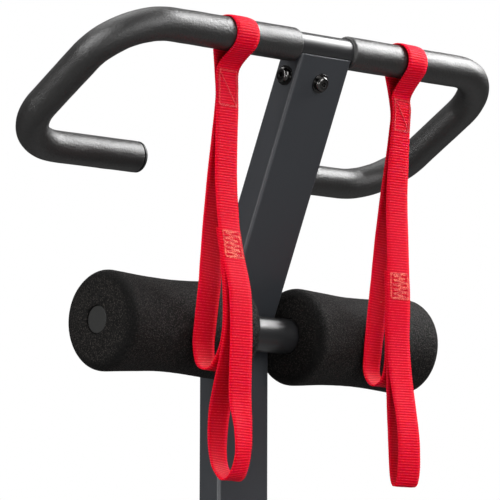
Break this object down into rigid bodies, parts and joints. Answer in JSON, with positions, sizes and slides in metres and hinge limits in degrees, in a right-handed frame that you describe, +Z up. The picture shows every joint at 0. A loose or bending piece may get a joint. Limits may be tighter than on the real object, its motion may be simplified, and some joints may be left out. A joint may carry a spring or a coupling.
{
  "type": "roman chair",
  "caption": "Free-standing roman chair: split hip pad, height-adjustable mast with foam ankle rollers, wrap-around handlebar and two webbing assist straps.",
  "frame": {"origin": "on the floor, under the middle of the overall length and width", "axes": "+Z up, +Y from the ankle-roller mast towards the hip pad, +X across the machine to the right when facing +Y"},
  "size_m": [0.6, 1.36, 1.202],
  "materials": {
    "frame_paint": "satin charcoal powder coat",
    "bar_gloss": "smooth gloss black paint",
    "grip_foam": "fine-grained closed-cell foam sleeve",
    "roller_foam": "matte speckled closed-cell foam",
    "moulded_plastic": "fine matte moulded black",
    "plug_grey": "smooth dark grey",
    "rubber": "matte black",
    "black_steel": "glossy black oxide",
    "zinc_steel": "bright zinc plate",
    "spring_steel": "oiled spring wire",
    "webbing": "ribbed woven webbing",
    "vinyl": "grained upholstery vinyl",
    "plywood": "birch plywood",
    "wheel_plastic": "hard moulded plastic",
    "bush_nylon": "natural nylon"
  },
  "bodies": {
    "base": {"base_beam": "frame_paint", "beam_end_caps": "moulded_plastic", "front_stabilizer": "frame_paint", "rear_stabilizer": "frame_paint", "stabilizer_end_caps": "rubber", "mast_sleeve": "frame_paint", "mast_bushing": "moulded_plastic", "mast_brace": "frame_paint", "pad_sleeve": "frame_paint", "pad_bushing": "moulded_plastic", "pad_brace": "frame_paint", "mast_pin_housing": "frame_paint", "pad_pin_housing": "frame_paint", "mast_pin_spring": "spring_steel", "pad_pin_spring": "spring_steel", "stabilizer_bolts": "zinc_steel", "stabilizer_nuts": "zinc_steel", "foot_bolts": "zinc_steel", "foot_nuts": "zinc_steel", "wheel_bolts": "zinc_steel", "wheel_nuts": "zinc_steel"},
    "mast": {"mast": "frame_paint", "mast_end_plug": "moulded_plastic", "roller_axle": "bar_gloss", "axle_end_plugs": "plug_grey", "handlebar": "bar_gloss", "handlebar_end_plugs": "moulded_plastic", "handlebar_bolts": "black_steel", "handlebar_washers": "black_steel", "handlebar_weld_nuts": "zinc_steel", "grip_left": "grip_foam", "grip_right": "grip_foam"},
    "roller_left": {"foam_roller_left": "roller_foam", "roller_liner_left": "moulded_plastic"},
    "roller_right": {"foam_roller_right": "roller_foam", "roller_liner_right": "moulded_plastic"},
    "strap_left": {"strap_left": "webbing"},
    "strap_right": {"strap_right": "webbing"},
    "mast_pin": {"mast_pin": "zinc_steel", "mast_pin_knob": "moulded_plastic"},
    "pad_carriage": {"pad_post": "frame_paint", "pad_post_plug": "moulded_plastic", "pad_frame": "frame_paint", "pad_frame_bolts": "zinc_steel", "pad_frame_nuts": "zinc_steel", "pad_board_left": "plywood", "pad_board_right": "plywood", "pad_left": "vinyl", "pad_right": "vinyl", "pad_board_bolts": "zinc_steel", "pad_tee_nuts": "zinc_steel"},
    "pad_pin": {"pad_pin": "zinc_steel", "pad_pin_knob": "moulded_plastic"},
    "wheel_left": {"wheel_left": "wheel_plastic", "wheel_bush_left": "bush_nylon"},
    "wheel_right": {"wheel_right": "wheel_plastic", "wheel_bush_right": "bush_nylon"}
  },
  "joints": [
    {"name": "mast_height", "type": "slide", "parent": "base", "child": "mast", "axis": [0, 0, 1], "range_m": [-0.08, 0.08]},
    {"name": "pad_height", "type": "slide", "parent": "base", "child": "pad_carriage", "axis": [0, 0, 1], "range_m": [-0.08, 0.08]},
    {"name": "mast_pin_push", "type": "slide", "parent": "base", "child": "mast_pin", "axis": [0, 1, 0], "range_m": [0, 0.012], "deforming": ["mast_pin_spring"]},
    {"name": "pad_pin_push", "type": "slide", "parent": "base", "child": "pad_pin", "axis": [0, -1, 0], "range_m": [0, 0.012], "deforming": ["pad_pin_spring"]},
    {"name": "roller_left_spin", "type": "hinge", "parent": "mast", "child": "roller_left", "pos_m": [-0.133, -0.433, 0.9], "axis": [1, 0, 0], "continuous": true},
    {"name": "strap_left_swing", "type": "hinge", "parent": "mast", "child": "strap_left", "pos_m": [-0.12, -0.51817, 1.1825], "axis": [1, 0, 0], "range_deg": [-75, 0]},
    {"name": "wheel_left_spin", "type": "hinge", "parent": "base", "child": "wheel_left", "pos_m": [-0.19, -0.65, 0.038], "axis": [1, 0, 0], "continuous": true},
    {"name": "roller_right_spin", "type": "hinge", "parent": "mast", "child": "roller_right", "pos_m": [0.133, -0.433, 0.9], "axis": [1, 0, 0], "continuous": true},
    {"name": "strap_right_swing", "type": "hinge", "parent": "mast", "child": "strap_right", "pos_m": [0.12, -0.51817, 1.1825], "axis": [1, 0, 0], "range_deg": [-75, 0]},
    {"name": "wheel_right_spin", "type": "hinge", "parent": "base", "child": "wheel_right", "pos_m": [0.19, -0.65, 0.038], "axis": [1, 0, 0], "continuous": true}
  ]
}
